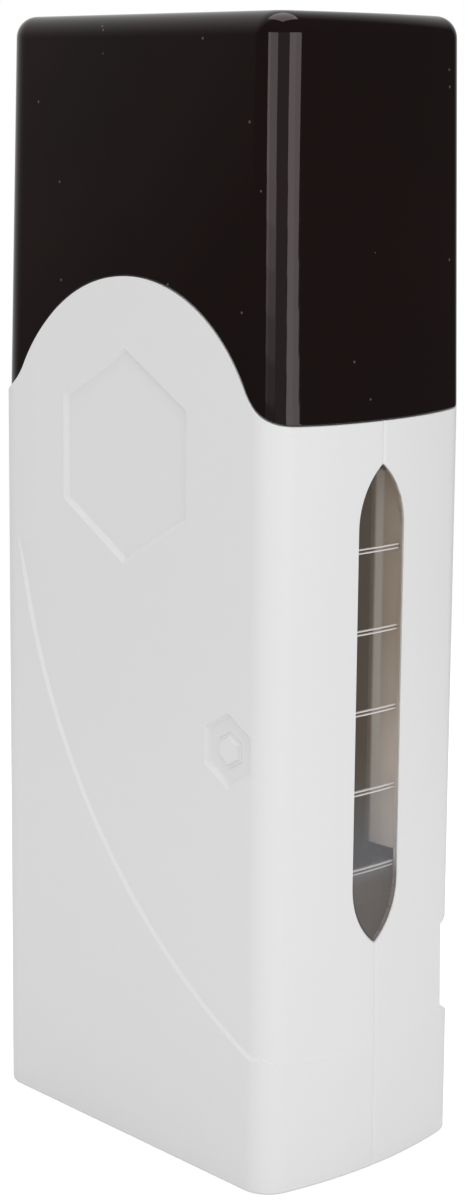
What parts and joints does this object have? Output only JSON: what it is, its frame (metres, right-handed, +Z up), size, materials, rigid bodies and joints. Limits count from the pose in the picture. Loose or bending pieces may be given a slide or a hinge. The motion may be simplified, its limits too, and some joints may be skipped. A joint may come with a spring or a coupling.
{
  "type": "wax warmer",
  "caption": "Upright roll-on wax warmer: white two-part housing with a level window and a key, heated well for a cartridge, smoked lift-off cap and a rear power inlet.",
  "frame": {"origin": "centre of the base, on the surface that the warmer stands on", "axes": "+Z up; -Y out of the face with the window; -X out of the wide face with the button"},
  "size_m": [0.0506, 0.0828, 0.21],
  "materials": {
    "white_shell": "satin moulded plastic",
    "smoked_cap": "glossy smoked translucent plastic",
    "clear_lens": "clear moulded plastic",
    "white_key": "satin moulded plastic",
    "collar": "moulded heat-resistant plastic",
    "well_metal": "drawn aluminium",
    "stone": "fired ceramic",
    "contact": "rolled brass strip",
    "film": "amber insulating film",
    "clamp": "stamped aluminium",
    "steel": "zinc-plated steel",
    "black_plastic": "moulded plastic",
    "board": "glass-filled laminate",
    "terminal": "moulded plastic",
    "capacitor_box": "potted plastic box",
    "capacitor_can": "sleeved aluminium can",
    "brown_wire": "insulated wire",
    "blue_wire": "insulated wire",
    "white_wire": "insulated wire"
  },
  "bodies": {
    "housing": {"left_shell": "white_shell", "right_shell": "white_shell", "case_screws": "steel", "window_lens": "clear_lens", "well_collar": "collar", "heating_well": "well_metal", "well_foot": "collar", "ptc_stones": "stone", "electrode_front": "contact", "electrode_rear": "contact", "heater_wrap": "film", "clamp_plate": "clamp", "clamp_nuts": "steel", "thermostat": "steel", "thermal_fuse": "steel", "switch_body": "black_plastic", "button_board": "board", "control_board": "board", "board_screws": "steel", "mains_terminal": "terminal", "heater_terminal": "terminal", "line_capacitor": "capacitor_box", "smoothing_capacitor": "capacitor_can", "triac": "black_plastic", "button_header": "white_wire", "power_inlet": "black_plastic", "inlet_pins": "contact", "live_lead": "brown_wire", "neutral_lead": "blue_wire", "heater_live_lead": "brown_wire", "heater_neutral_lead": "blue_wire", "fuse_link": "brown_wire", "heater_link": "brown_wire", "button_leads": "white_wire"},
    "cap": {"cap": "smoked_cap"},
    "button": {"power_button": "white_key", "switch_plunger": "black_plastic"}
  },
  "joints": [
    {"name": "cap_lift", "type": "slide", "parent": "housing", "child": "cap", "axis": [0, 0, 1], "range_m": [0, 0.08]},
    {"name": "button_press", "type": "slide", "parent": "housing", "child": "button", "axis": [1, 0, 0], "range_m": [0, 0.0005], "stiffness_N_per_m": 2000}
  ]
}
